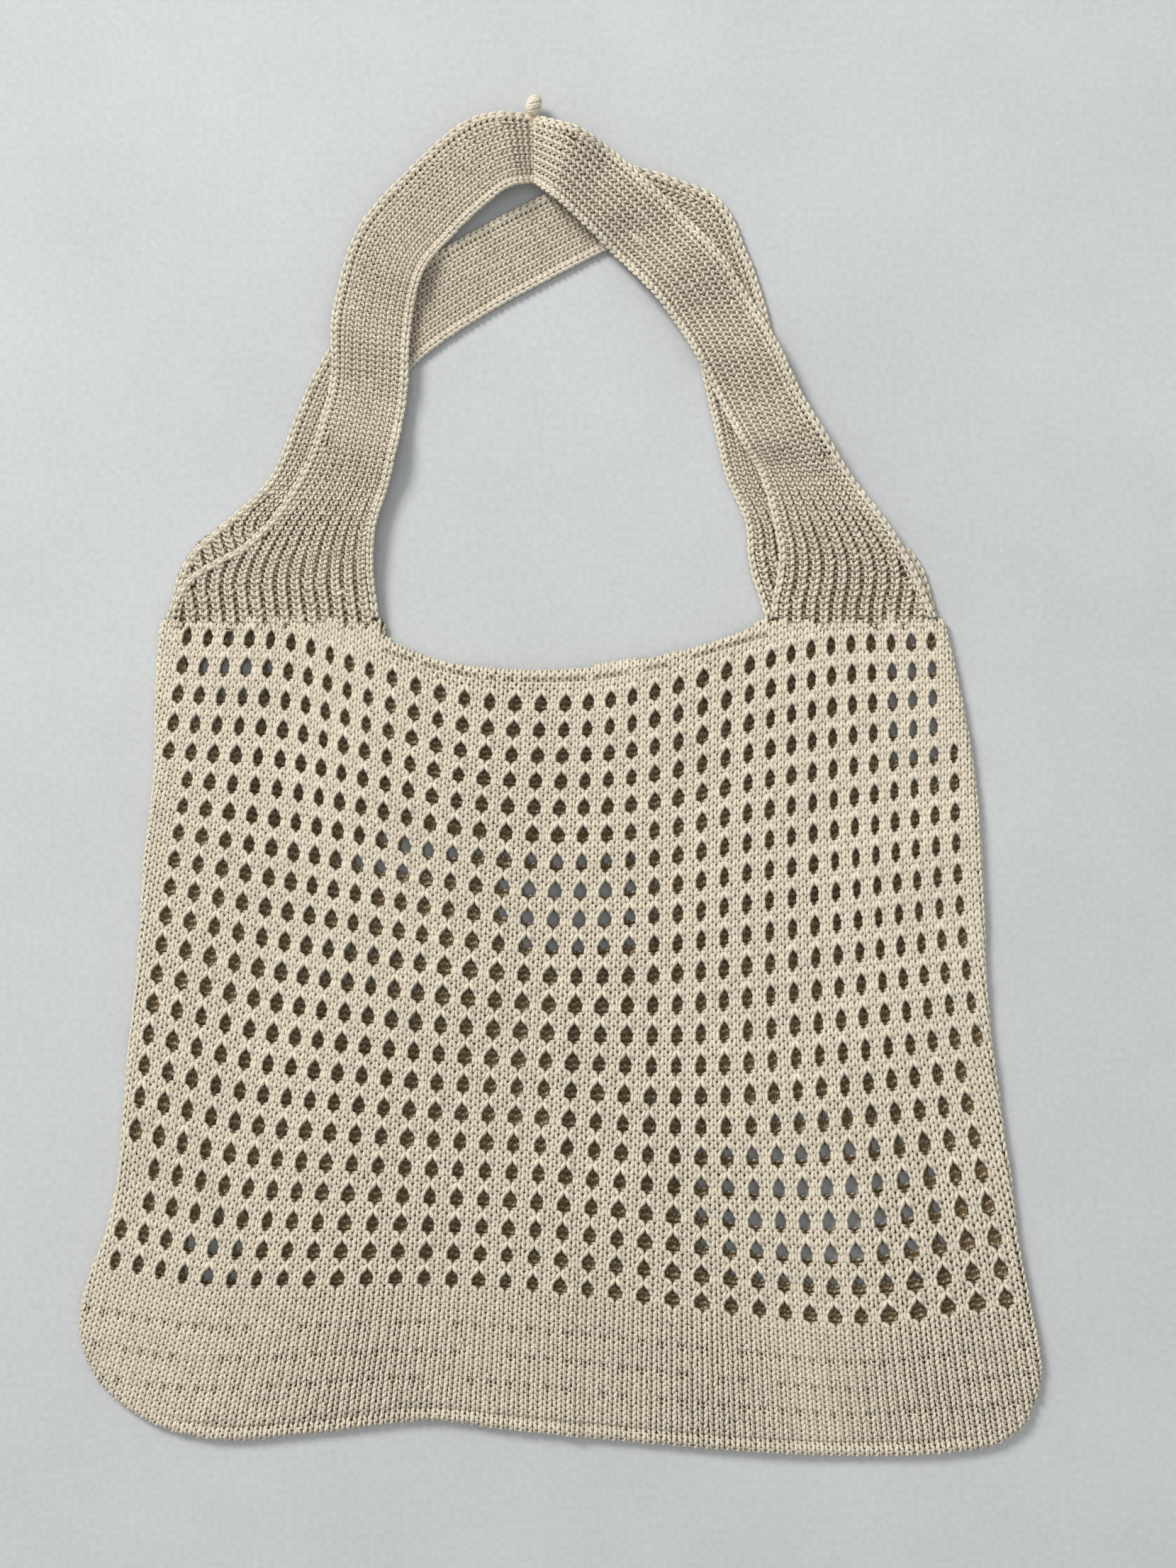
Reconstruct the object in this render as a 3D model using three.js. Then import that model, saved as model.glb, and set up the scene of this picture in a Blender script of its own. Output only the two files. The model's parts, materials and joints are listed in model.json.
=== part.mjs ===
// Mesh produce bag: a knitted cotton tote lying flat on a table.
// Millimetres. X to the right, Y from the base towards the handles, Z up from the table.
// Two knitted faces lie one over the other. They are sewn down both sides and across the base, and each
// face runs up into two ribbed shoulders and two straps, which a seam joins at the top of the handle.
// The handles fold over the front face about one line across all four shoulders, the fold line.

import * as THREE from 'three';

// ---- Driving dimensions -------------------------------------------------------------------------
const bagWidth = 408;        // across the widest part, just above the base corners
const bodyHeight = 376;      // from the base up to the fold line, at x = 0 on the base line
const handleReach = 184;     // from the fold line to the outer end of the front handle's seam
const knitThickness = 2.4;   // one layer of knitted fabric
const bagGap = 6.0;          // space between the two faces in the middle of the bag
const rimGap = 0.8;          // space between the two faces where they are sewn together
const foldGap = 3.2;         // space between the front and back shoulders at the fold line
const strapWidth = 33;       // a strap, once it has drawn in above its shoulder
const seamWidth = 3.2;       // the sewn edge at the sides and the base
const neckBandHeight = 8;    // the bound-off edge along the mouth
const handleSeamRadius = 2;  // the ridge where two straps of the front handle join
const tipRadius = 3.8;       // the bulky outer end of that ridge
const riseWidth = 50;        // how far in from a sewn edge the bag takes to reach its full gap
const strapLift = 0.5;       // air between the front handle and the back handle where they cross
const clearance = 0.3;       // between any two pieces that touch

// ---- Where those sizes put the outline ------------------------------------------------------------
const half = { width: 204, below: 392, above: 184 };   // the size at which the outlines were drawn
const foldY = 104;                                     // the fold line, which both scales leave in place
const yokeBase = 62;                                   // where the mesh stops and the ribbed shoulders start
const wide = bagWidth / 2 / half.width;
const tall = (bodyHeight + 16) / half.below;
const long = handleReach / half.above;

function place([x, y]) {
  // A drawn point at the driving sizes: the body stretches below the fold line, the handles above it.
  return [x * wide, foldY + (y - foldY) * (y < foldY ? tall : long)];
}

const yokeY = place([0, yokeBase])[1];
const smooth = (t) => { const s = Math.min(Math.max(t, 0), 1); return s * s * (3 - 2 * s); };
const mix = (a, b, t) => a + (b - a) * t;

// ---- Curves ---------------------------------------------------------------------------------------
const curveSamples = 240;

function curve(points) {
  // A smooth curve through the placed points, as a list of points at equal steps along it.
  const knots = points.map(([x, y]) => new THREE.Vector3(x, y, 0));
  const line = new THREE.CatmullRomCurve3(knots, false, 'catmullrom', 0.5);
  return line.getSpacedPoints(curveSamples).map((p) => [p.x, p.y]);
}

function pointAt(line, t) {
  // The point a share t of the way along a curve.
  const at = Math.min(Math.max(t, 0), 1) * (line.length - 1);
  const i = Math.min(Math.floor(at), line.length - 2);
  return line[i].map((a, k) => mix(a, line[i + 1][k], at - i));
}

function shareAt(line, axis, value) {
  // How far along a curve it first reaches this x (axis 0) or y (axis 1).
  for (let i = 1; i < line.length; i += 1) {
    const [a, b] = [line[i - 1][axis], line[i][axis]];
    if ((a - value) * (b - value) <= 0 && a !== b) return (i - 1 + (value - a) / (b - a)) / (line.length - 1);
  }
  return Math.abs(line[0][axis] - value) < Math.abs(line.at(-1)[axis] - value) ? 0 : 1;
}

function inset(line, distance) {
  // The same curve moved sideways to its left by a distance.
  return line.map(([x, y], i) => {
    const [a, b] = [line[Math.max(i - 1, 0)], line[Math.min(i + 1, line.length - 1)]];
    const length = Math.hypot(b[0] - a[0], b[1] - a[1]);
    return [x - (b[1] - a[1]) / length * distance, y + (b[0] - a[0]) / length * distance];
  });
}

// The outer edge, down the left side, along the base and up the right side
const leftSide = curve([
  [-164, 86], [-169.7, 66], [-171.8, 40], [-173, 0], [-177, -35], [-179.5, -75], [-182.5, -105],
  [-185.8, -140], [-188.5, -172], [-193, -192], [-199, -208], [-204, -226], [-202.5, -243], [-196, -257],
].map(place));
const baseLine = curve([
  [-196, -257], [-184, -267.5], [-170, -275.5], [-150, -280.5], [-104, -278.5], [-51, -273], [-20, -277],
  [28, -281.7], [80, -286], [127, -288], [165, -286.5], [186, -282.5], [197, -275],
].map(place));
const rightSide = curve([
  [197, -275], [203, -260], [204, -244], [200.5, -226], [196, -205], [192, -175], [188.5, -150],
  [185, -125], [181.5, -95], [180, -60], [178.5, -25], [176, 0], [173, 20], [169, 40], [164, 62], [160, 76],
].map(place));
const mouthEdge = curve([
  [-75.5, 60], [-67, 55.5], [-51, 49], [-30, 46], [-8, 45], [28, 49], [61, 56], [77, 61.5], [88, 68],
].map(place));
const bandTop = curve([
  [-198, -211], [-176, -217], [-146, -221], [-90, -219.5], [-5, -221], [45, -227], [94, -234], [150, -238],
  [180, -235], [202, -229],
].map(place));

// ---- Heights --------------------------------------------------------------------------------------
function gapAt(x, y) {
  // The space between the faces: narrow at the sewn edges, full in the middle, foldGap at the fold line.
  const left = pointAt(leftSide, shareAt(leftSide, 1, y))[0];
  const right = pointAt(rightSide, shareAt(rightSide, 1, y))[0];
  const base = pointAt(baseLine, shareAt(baseLine, 0, x))[1];
  const fromSide = smooth((Math.min(x - left, right - x) - seamWidth) / riseWidth);
  const fromBase = smooth((y - base - seamWidth) / riseWidth);
  const body = mix(rimGap, bagGap, fromSide * fromBase);
  return mix(body, foldGap, smooth((y - yokeY) / (foldY - yokeY)));
}

const layers = {
  back: { under: () => 0, over: () => knitThickness },
  front: {
    under: (x, y) => knitThickness + gapAt(x, y),
    over: (x, y) => 2 * knitThickness + gapAt(x, y),
  },
};

// ---- Solids ---------------------------------------------------------------------------------------
function closedSheet(grid, under, over) {
  // A closed solid over a grid of [x, y] points, from the height under() to the height over().
  const rows = grid.length;
  const columns = grid[0].length;
  const corners = [];
  for (const height of [under, over]) {
    grid.forEach((row, i) => row.forEach(([x, y], j) => corners.push(x, y, height(x, y, i, j))));
  }
  const at = (i, j, top) => top * rows * columns + i * columns + j;
  const faces = [];
  const quad = (a, b, c, d) => faces.push(a, b, c, a, c, d);
  for (let i = 0; i + 1 < rows; i += 1) {
    for (let j = 0; j + 1 < columns; j += 1) {
      quad(at(i, j, 1), at(i, j + 1, 1), at(i + 1, j + 1, 1), at(i + 1, j, 1));
      quad(at(i, j, 0), at(i + 1, j, 0), at(i + 1, j + 1, 0), at(i, j + 1, 0));
    }
    quad(at(i, 0, 0), at(i, 0, 1), at(i + 1, 0, 1), at(i + 1, 0, 0));
    quad(at(i, columns - 1, 0), at(i + 1, columns - 1, 0), at(i + 1, columns - 1, 1), at(i, columns - 1, 1));
  }
  for (let j = 0; j + 1 < columns; j += 1) {
    quad(at(0, j, 0), at(0, j + 1, 0), at(0, j + 1, 1), at(0, j, 1));
    quad(at(rows - 1, j, 0), at(rows - 1, j, 1), at(rows - 1, j + 1, 1), at(rows - 1, j + 1, 0));
  }
  return outwards(corners, faces);
}

function outwards(corners, faces) {
  // The geometry with every face pointing out, whichever way round the grid was listed.
  const geometry = new THREE.BufferGeometry();
  geometry.setAttribute('position', new THREE.Float32BufferAttribute(corners, 3));
  let volume = 0;
  for (let f = 0; f < faces.length; f += 3) {
    const [a, b, c] = [0, 1, 2].map((k) => new THREE.Vector3().fromArray(corners, faces[f + k] * 3));
    volume += a.dot(b.cross(c));
  }
  if (volume < 0) {
    for (let f = 0; f < faces.length; f += 3) [faces[f], faces[f + 1]] = [faces[f + 1], faces[f]];
  }
  geometry.setIndex(faces);
  geometry.computeVertexNormals();
  return geometry;
}

function steps(count) {
  return Array.from({ length: count + 1 }, (_, i) => i / count);
}

function patch(bottom, top, left, right, acrossShares, upShares) {
  // A grid that fills the space between four edges, blended so that it meets each of them.
  const [a, b, c, d] = [bottom(0), bottom(1), top(0), top(1)];
  return upShares.map((v) => acrossShares.map((u) => [0, 1].map((k) => (
    mix(bottom(u)[k], top(u)[k], v) + mix(left(v)[k], right(v)[k], u)
    - mix(mix(a[k], b[k], u), mix(c[k], d[k], u), v)
  ))));
}

const woven = { roughness: 0.95, metalness: 0 };
const colours = { mesh: 0xcdbb9c, plain: 0xd0bfa2, rib: 0xc8b595, seam: 0xbfab8a, strap: 0xd2c2a6 };

function piece(name, geometry, colour) {
  const mesh = new THREE.Mesh(geometry, new THREE.MeshStandardMaterial({ color: colours[colour], ...woven }));
  mesh.name = name;
  return mesh;
}

// ---- The two faces --------------------------------------------------------------------------------
const edgeInset = seamWidth + clearance;   // from the outer edge to the fabric of a face
const innerLeft = inset(leftSide, edgeInset);
const innerBase = inset(baseLine, edgeInset);
const innerRight = inset(rightSide, edgeInset);
const neckLower = mouthEdge.map(([x, y]) => [x, y - neckBandHeight]);
const neckSteps = 14;
const mouthLeft = mouthEdge[0][0];
const mouthRight = mouthEdge.at(-1)[0];

function heightOn(line, x) {
  // The height y at which a curve that runs across the bag passes this x.
  return pointAt(line, shareAt(line, 0, x))[1];
}

function bandEnd(side) {
  // Where the top of the base band meets a side edge, found by going back and forth between the two.
  let [x, y] = pointAt(bandTop, side === innerLeft ? 0 : 1);
  for (let round = 0; round < 4; round += 1) {
    [x] = pointAt(side, shareAt(side, 1, y));
    y = heightOn(bandTop, x);
  }
  return [x, y];
}

const [bandLeft, bandRight] = [bandEnd(innerLeft), bandEnd(innerRight)];
const panelTop = (() => {
  // The upper edge of the mesh: flat under both shoulders and round the neck band between them.
  const [left, right] = [innerLeft, innerRight].map((line) => pointAt(line, shareAt(line, 1, yokeY))[0]);
  return [
    ...steps(4).map((t) => [mix(left, mouthLeft - 2 * clearance, t), yokeY]),
    ...steps(neckSteps).map((t) => pointAt(neckLower, t)),
    ...steps(3).map((t) => [mix(mouthRight + 2 * clearance, right, t), yokeY]),
  ].map(([x, y]) => [x, y - clearance]);
})();
// Both the band and the mesh have a column of faces under each point of the mesh's upper edge.
const columns = panelTop.map(([x]) => (x - panelTop[0][0]) / (panelTop.at(-1)[0] - panelTop[0][0]));

function bandPoint(u, drop) {
  const x = mix(bandLeft[0], bandRight[0], u);
  return [x, heightOn(bandTop, x) - drop];
}

// Rows of faces up the bag: in the base band, in the mesh and up the shoulders
const rows = { band: steps(8), mesh: steps(16), yoke: steps(5) };

function shares(line, from, to, ups) {
  // How far along a side edge each row lies, between two heights y.
  const [a, b] = [shareAt(line, 1, from), shareAt(line, 1, to)];
  return ups.map((v) => mix(a, b, v));
}

function rowsOf(side) {
  // The same for every row of one side, from the base corner to the top of the side seam.
  const [line, corner, band] = side === 'left'
    ? [innerLeft, innerBase[0], bandLeft] : [innerRight, innerBase.at(-1), bandRight];
  const top = side === 'left' ? line[0][1] : line.at(-1)[1];
  return {
    line,
    band: shares(line, corner[1], band[1] - clearance, rows.band),
    mesh: shares(line, band[1], yokeY - clearance, rows.mesh),
    yoke: shares(line, yokeY, top, rows.yoke),
  };
}

const sideRows = { left: rowsOf('left'), right: rowsOf('right') };

function edgeOf(side, zone) {
  // A side edge of one zone, as a function of the share of the way up it.
  const { line, [zone]: at } = sideRows[side];
  return (v) => pointAt(line, at[Math.round(v * (at.length - 1))]);
}

function baseBand(layer) {
  // The plain knitted band at the base, up to the first row of holes.
  const bottom = (u) => pointAt(innerBase, u);
  const top = (u) => bandPoint(u, clearance);
  const grid = patch(bottom, top, edgeOf('left', 'band'), edgeOf('right', 'band'), columns, rows.band);
  return closedSheet(grid, layers[layer].under, layers[layer].over);
}

function meshPanel(layer) {
  // The eyelet mesh, from the base band up to the shoulders and the neck band.
  const bottom = (u) => bandPoint(u, 0);
  const top = (u) => panelTop[columns.indexOf(u)];
  const grid = patch(bottom, top, edgeOf('left', 'mesh'), edgeOf('right', 'mesh'), columns, rows.mesh);
  return closedSheet(grid, layers[layer].under, layers[layer].over);
}

// Each shoulder by its outer edge and its inner edge, from the yoke base up to the fold line
const shoulders = {
  front_left: {
    outer: [[-167, 62], [-164, 74], [-158, 83], [-147, 90], [-135.6, 96], [-126.5, 104]],
    inner: [[-76.4, 62], [-77.6, 74], [-78.9, 85], [-79, 95], [-78.3, 104]],
  },
  front_right: {
    outer: [[161, 62], [156, 74], [151, 85], [145.6, 95], [140.2, 104]],
    inner: [[88.6, 62], [89.3, 74], [91.2, 82], [92, 92], [90.5, 104]],
  },
  back_left: {
    outer: [[-167, 62], [-165, 74], [-161.5, 86], [-156.5, 95], [-146.5, 104]],
    inner: [[-76.4, 62], [-80, 74], [-87, 88], [-98, 104]],
  },
  back_right: {
    outer: [[161, 62], [157, 77], [152.6, 90], [146, 98], [136, 104]],
    inner: [[88.6, 62], [85.5, 72], [81.3, 85], [79.3, 95], [79, 104]],
  },
};

function yoke(layer, side) {
  // A ribbed shoulder, ruled across between its outer edge, which the side seam trims, and its inner edge.
  const { outer, inner } = shoulders[`${layer}_${side}`];
  const { line } = sideRows[side];
  const xAt = (edge, y) => pointAt(edge, shareAt(edge, 1, y))[0];
  const [a, b] = [curve(outer.map(place)), curve(inner.map(place))];
  const seamTop = side === 'left' ? line[0][1] : line.at(-1)[1];
  const heights = [
    ...rows.yoke.map((v) => mix(yokeY, seamTop, v)),
    ...steps(6).slice(1).map((v) => mix(seamTop, foldY - clearance / 2, v)),
  ];
  const trim = side === 'left' ? Math.max : Math.min;
  const grid = heights.map((y) => {
    const start = trim(xAt(a, y), xAt(line, y));
    return steps(8).map((u) => [mix(start, xAt(b, y), u), y]);
  });
  return closedSheet(grid, layers[layer].under, layers[layer].over);
}

function neckBand(layer) {
  // The bound-off edge along the mouth, which stops short of the inner edge of each shoulder.
  const inner = (side) => curve(shoulders[`${layer}_${side}`].inner.map(place));
  const [left, right] = [inner('left'), inner('right')];
  const kept = ([x, y]) => {
    if (y < yokeY) return [x, y];
    const [low, high] = [left, right].map((line) => pointAt(line, shareAt(line, 1, y))[0]);
    return [Math.min(Math.max(x, low + clearance), high - clearance), y];
  };
  const grid = [neckBandHeight - clearance, 0].map((drop) => steps(neckSteps).map((u) => {
    const [x, y] = pointAt(mouthEdge, u);
    return kept([x, y - drop]);
  }));
  return closedSheet(grid, layers[layer].under, layers[layer].over);
}

// ---- Sewn edges -----------------------------------------------------------------------------------
const seamHeight = 2 * knitThickness + rimGap;

function sewnEdge(line, at) {
  // A strip along the outer edge, as high as both layers and the air between them.
  const lines = [line, inset(line, seamWidth)];
  const grid = lines.map((edge) => at.map((t) => pointAt(edge, t)));
  return closedSheet(grid, () => 0, () => seamHeight);
}

function sideSeam(side) {
  const { band, mesh, yoke: top } = sideRows[side];
  const line = side === 'left' ? leftSide : rightSide;
  const [first, ...rest] = band;
  const start = first + cornerGap(line) * Math.sign(rest[0] - first);
  return sewnEdge(line, [start, ...rest, ...mesh, ...top]);
}

function cornerGap(line) {
  // The share of an edge that leaves the clearance to the next edge.
  const length = line.slice(1).reduce((sum, p, i) => sum + Math.hypot(p[0] - line[i][0], p[1] - line[i][1]), 0);
  return clearance / length;
}

// ---- Handles --------------------------------------------------------------------------------------
// Each strap by its stations from the fold line up to the handle's seam: the middle of the strap, the
// direction across it from its outer to its inner edge in degrees, its width, and the height of its underside.
const foldUnder = knitThickness + foldGap;
const crossing = knitThickness + strapLift;
const seams = {
  front: { inner: [-10.4, 250.5], outer: [-8.6, 280.5], under: 5.2, radius: handleSeamRadius },
  back: { inner: [29.2, 228.5], outer: [21.8, 260.5], under: 0, radius: knitThickness / 2 },
};
const straps = {
  front_left: [
    [-102.4, 104, 0, 48.2, foldUnder], [-90.5, 127.5, -4.5, 37.5, 3.6], [-81.3, 162.7, -9, strapWidth, crossing],
    [-78.8, 198, -7, strapWidth, crossing], [-71.8, 221.6, -24, strapWidth, crossing],
    [-48.9, 247.8, -50.7, strapWidth, crossing + 0.4], [-29.5, 261.8, -70.7, strapWidth, 4.2],
  ],
  front_right: [
    [115.3, 104, 180, 49.7, foldUnder], [103, 128.1, 182, 38, 3.6], [90, 149.7, 206, strapWidth, crossing],
    [73.6, 181.9, 211, strapWidth, crossing], [54.8, 210.5, 226.5, strapWidth, crossing],
    [29.5, 236.2, 238, strapWidth, crossing + 0.3], [10, 253, 248, strapWidth, 4.2],
  ],
  back_left: [
    [-122.3, 104, 0, 48.5, 0], [-105.4, 126.5, -2, 35, 0], [-96.8, 148, -11, strapWidth, 0],
    [-90, 163, -22, strapWidth, 0], [-74, 186, -45, strapWidth, 0], [-45, 207.5, -61, strapWidth, 0],
    [-10, 227, -61, strapWidth, 0],
  ],
  back_right: [
    [107.5, 104, 180, 57, 0], [90, 128, 181, 40, 0], [79.5, 160, 194, strapWidth, 0],
    [73.3, 186.2, 197.5, strapWidth, 0], [65.2, 212.8, 210, strapWidth, 0], [54.3, 234.2, 230, strapWidth, 0],
    [41.5, 238.5, 254, strapWidth, 0],
  ],
};

function acrossStation([x, y, angle, width]) {
  const [cx, cy] = place([x, y]);
  const turn = THREE.MathUtils.degToRad(angle);
  const reach = [Math.cos(turn) * width / 2, Math.sin(turn) * width / 2];
  return [[cx - reach[0], cy - reach[1]], [cx + reach[0], cy + reach[1]]];
}

function seamSide(layer, side) {
  // The strap's end edge beside its seam, from the outer to the inner edge of the strap.
  const { inner, outer, radius } = seams[layer];
  const [p, q] = [place(outer), place(inner)];
  const length = Math.hypot(q[0] - p[0], q[1] - p[1]);
  const away = (radius + clearance) * (side === 'left' ? -1 : 1);
  const shift = [(p[1] - q[1]) / length * away, (q[0] - p[0]) / length * away];
  return [p, q].map(([x, y]) => [x + shift[0], y + shift[1]]);
}

function strap(layer, side) {
  // A flat knitted strap, ruled across between its two edges.
  const stations = straps[`${layer}_${side}`];
  const pairs = [...stations.map(acrossStation), seamSide(layer, side)];
  pairs[0] = pairs[0].map(([x]) => [x, foldY + clearance / 2]);
  const heights = [...stations.map((s) => s[4]), seams[layer].under];
  const through = (points) => new THREE.CatmullRomCurve3(points, false, 'catmullrom', 0.5);
  const edges = [0, 1].map((k) => through(pairs.map((pair, i) => new THREE.Vector3(...pair[k], heights[i]))));
  const rows = steps(30).map((t) => edges.map((edge) => edge.getPoint(t)));
  const grid = rows.map(([a, b]) => steps(3).map((u) => [mix(a.x, b.x, u), mix(a.y, b.y, u)]));
  const under = (x, y, i) => rows[i][0].z;
  return closedSheet(grid, under, (x, y, i) => under(x, y, i) + knitThickness);
}

function ridge(centres, radii, sides) {
  // A closed round bar through a list of centres, with its own radius at each and a flat cap at both ends.
  const corners = [];
  const faces = [];
  const along = new THREE.Vector3().subVectors(centres.at(-1), centres[0]).normalize();
  const acrossWay = new THREE.Vector3(0, 0, 1).cross(along).normalize();
  const upWay = new THREE.Vector3().crossVectors(along, acrossWay).normalize();
  centres.forEach((centre, i) => steps(sides).slice(0, -1).forEach((t) => {
    const turn = t * 2 * Math.PI;
    const out = acrossWay.clone().multiplyScalar(Math.cos(turn) * radii[i]);
    out.addScaledVector(upWay, Math.sin(turn) * radii[i]).add(centre);
    corners.push(out.x, out.y, out.z);
  }));
  const at = (i, j) => i * sides + (j % sides);
  for (let i = 0; i + 1 < centres.length; i += 1) {
    for (let j = 0; j < sides; j += 1) {
      faces.push(at(i, j), at(i, j + 1), at(i + 1, j + 1), at(i, j), at(i + 1, j + 1), at(i + 1, j));
    }
  }
  for (let j = 1; j + 1 < sides; j += 1) {
    faces.push(at(0, 0), at(0, j + 1), at(0, j), at(centres.length - 1, 0), at(centres.length - 1, j));
    faces.push(at(centres.length - 1, j + 1));
  }
  return outwards(corners, faces);
}

function handleSeam(layer, tip) {
  // The joining seam, which ends in a small bulge past the outer edge where the tip has a radius.
  const { inner, outer, under, radius } = seams[layer];
  const [p, q] = [place(inner), place(outer)];
  const centre = ([x, y], rise = 0) => new THREE.Vector3(x, y, under + knitThickness / 2 + rise);
  const plain = steps(6).map((t) => centre([mix(p[0], q[0], t), mix(p[1], q[1], t)]));
  if (!tip) return ridge(plain, plain.map(() => radius), 12);
  const bulge = [[0.8, 2.2, 0.6], [2.6, tip, 1.8], [5.2, tip * 0.95, 2.0], [6.9, tip * 0.55, 2.0], [7.5, 0.6, 2.0]];
  const ends = bulge.map(([away, , rise]) => centre([q[0], q[1] + away], rise));
  const radii = [...plain.map(() => radius), ...bulge.map(([, r]) => r)];
  return ridge([...plain, ...ends], radii, 12);
}

// ---- The assembly ---------------------------------------------------------------------------------
const bag = new THREE.Group();
for (const layer of ['back', 'front']) {
  bag.add(piece(`${layer}_base_band`, baseBand(layer), 'plain'));
  bag.add(piece(`${layer}_mesh_panel`, meshPanel(layer), 'mesh'));
  bag.add(piece(`${layer}_neck_band`, neckBand(layer), 'rib'));
  for (const side of ['left', 'right']) {
    bag.add(piece(`${layer}_${side}_yoke`, yoke(layer, side), 'rib'));
    bag.add(piece(`${layer}_${side}_strap`, strap(layer, side), 'strap'));
  }
  bag.add(piece(`${layer}_handle_seam`, handleSeam(layer, layer === 'front' ? tipRadius : 0), 'seam'));
}
bag.add(piece('left_side_seam', sideSeam('left'), 'seam'));
bag.add(piece('base_seam', sewnEdge(baseLine, columns), 'seam'));
bag.add(piece('right_side_seam', sideSeam('right'), 'seam'));

// The origin is the middle of the bag's outline on the table.
const box = new THREE.Box3().setFromObject(bag);
bag.position.set(-(box.min.x + box.max.x) / 2, -(box.min.y + box.max.y) / 2, -box.min.z);

export default bag;
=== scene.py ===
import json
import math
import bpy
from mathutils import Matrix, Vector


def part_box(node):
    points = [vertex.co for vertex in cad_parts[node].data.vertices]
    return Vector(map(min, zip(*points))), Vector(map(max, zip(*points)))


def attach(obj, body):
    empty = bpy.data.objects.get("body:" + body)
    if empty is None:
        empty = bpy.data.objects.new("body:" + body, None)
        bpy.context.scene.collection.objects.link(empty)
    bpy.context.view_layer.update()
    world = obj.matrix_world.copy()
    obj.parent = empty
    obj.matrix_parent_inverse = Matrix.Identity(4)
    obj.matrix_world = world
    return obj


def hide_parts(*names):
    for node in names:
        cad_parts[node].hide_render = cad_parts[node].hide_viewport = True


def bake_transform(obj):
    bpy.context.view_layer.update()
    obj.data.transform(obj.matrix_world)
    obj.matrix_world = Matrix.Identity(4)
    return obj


bl_info = {
    "name": "Knitted mesh produce bag",
    "version": (1, 0, 0),
    "blender": (4, 5, 0),
    "location": "3D View > Sidebar > Bag",
    "description": "A cotton mesh bag with ribbed shoulders and seamed strap handles, knitted loop by loop",
    "category": "Add Mesh",
}

import bpy
import numpy as np

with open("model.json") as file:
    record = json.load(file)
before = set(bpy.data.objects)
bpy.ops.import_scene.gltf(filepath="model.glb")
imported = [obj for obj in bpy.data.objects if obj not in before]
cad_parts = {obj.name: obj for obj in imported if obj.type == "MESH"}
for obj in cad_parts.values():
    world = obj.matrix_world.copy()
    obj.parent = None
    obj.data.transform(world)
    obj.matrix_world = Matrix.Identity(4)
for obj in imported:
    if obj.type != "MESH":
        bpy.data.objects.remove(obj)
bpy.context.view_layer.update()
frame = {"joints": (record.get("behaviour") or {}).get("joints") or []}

# Millimetres throughout, turned to metres where a mesh is made.
LAYER = 2.4          # one knitted layer, as thick as the CAD's
OFF_TABLE = 0.3      # how far the lowest layer is held up, so that no loop dips into the table
BAG_GAP = 1.7        # air between the faces in the middle, where they sag together
RIM_GAP = 0.8        # air between them at the sewn edge
FOLD_GAP = 3.2       # air between them at the handles' fold line
SEAM = 3.2           # width of the sewn edge
RISE = 50.0          # how far in from it the gap reaches its full height
YOKE_BASE = 62.0     # where the gap begins to change towards the fold line's
FOLD_Y = frame["joints"][0]["pos_m"][1] * 1000
MILLIMETRE = 0.001   # in metres
COURSE = 2.2         # height of one course up the straps
LOOSER = (11, 16)    # how much higher the shoulder's courses stand in all, and over how many of them
WALE = 3.3           # width of one column of loops on a strap
RIB_SPREAD = 2.4     # how much wider the columns stand at the shoulder's base
MOST_COLUMNS = 22    # more columns than any shoulder has


# ---- Curves and outlines ----
def smooth(t):
    """0 before 0, 1 after 1, and an even S between."""
    t = np.clip(t, 0, 1)
    return t * t * (3 - 2 * t)


def through(knots, values, at):
    """A smooth line through the values at the knots: between two knots a cubic whose slopes are those of the
    neighbours, and a straight run beyond the ends. Values may hold one column for each element of at."""
    knots, values = np.asarray(knots, float), np.asarray(values, float)
    slopes = np.gradient(values, knots, axis=0)
    k = np.clip(np.searchsorted(knots, at) - 1, 0, len(knots) - 2)
    wide = knots[k + 1] - knots[k]
    t = (at - knots[k]) / wide
    inside = np.clip(t, 0, 1)
    each = (k,) if values.ndim == 1 else (k, np.arange(k.size))
    after = (k + 1,) + each[1:]
    a, b, m, n = values[each], values[after], slopes[each] * wide, slopes[after] * wide
    i2, i3 = inside**2, inside**3
    curve = (2 * i3 - 3 * i2 + 1) * a + (i3 - 2 * i2 + inside) * m + (3 * i2 - 2 * i3) * b + (i3 - i2) * n
    return curve + np.where(t < 0, t * m, 0) + np.where(t > 1, (t - 1) * n, 0)


def drawn(points, count=400):
    """A list of points at equal steps along the smooth line through the given ones."""
    points = np.array(points, float)
    knots = np.r_[0, np.cumsum(np.hypot(*np.diff(points, axis=0).T))]
    at = np.linspace(0, knots[-1], count)
    return np.stack([through(knots, points[:, 0], at), through(knots, points[:, 1], at)], 1)


left_side = drawn([
    [-164, 86], [-169.7, 66], [-171.8, 40], [-173, 0], [-177, -35], [-179.5, -75], [-182.5, -105],
    [-185.8, -140], [-188.5, -172], [-193, -192], [-199, -208], [-204, -226], [-202.5, -243], [-196, -257]])
base_line = drawn([
    [-196, -257], [-184, -267.5], [-170, -275.5], [-150, -280.5], [-104, -278.5], [-51, -273], [-20, -277],
    [28, -281.7], [80, -286], [127, -288], [165, -286.5], [186, -282.5], [197, -275]])
right_side = drawn([
    [197, -275], [203, -260], [204, -244], [200.5, -226], [196, -205], [192, -175], [188.5, -150],
    [185, -125], [181.5, -95], [180, -60], [178.5, -25], [176, 0], [173, 20], [169, 40], [164, 62], [160, 76]])
mouth_edge = drawn([
    [-75.5, 60], [-67, 55.5], [-51, 49], [-30, 46], [-8, 45], [28, 49], [61, 56], [77, 61.5], [88, 68]])
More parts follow.
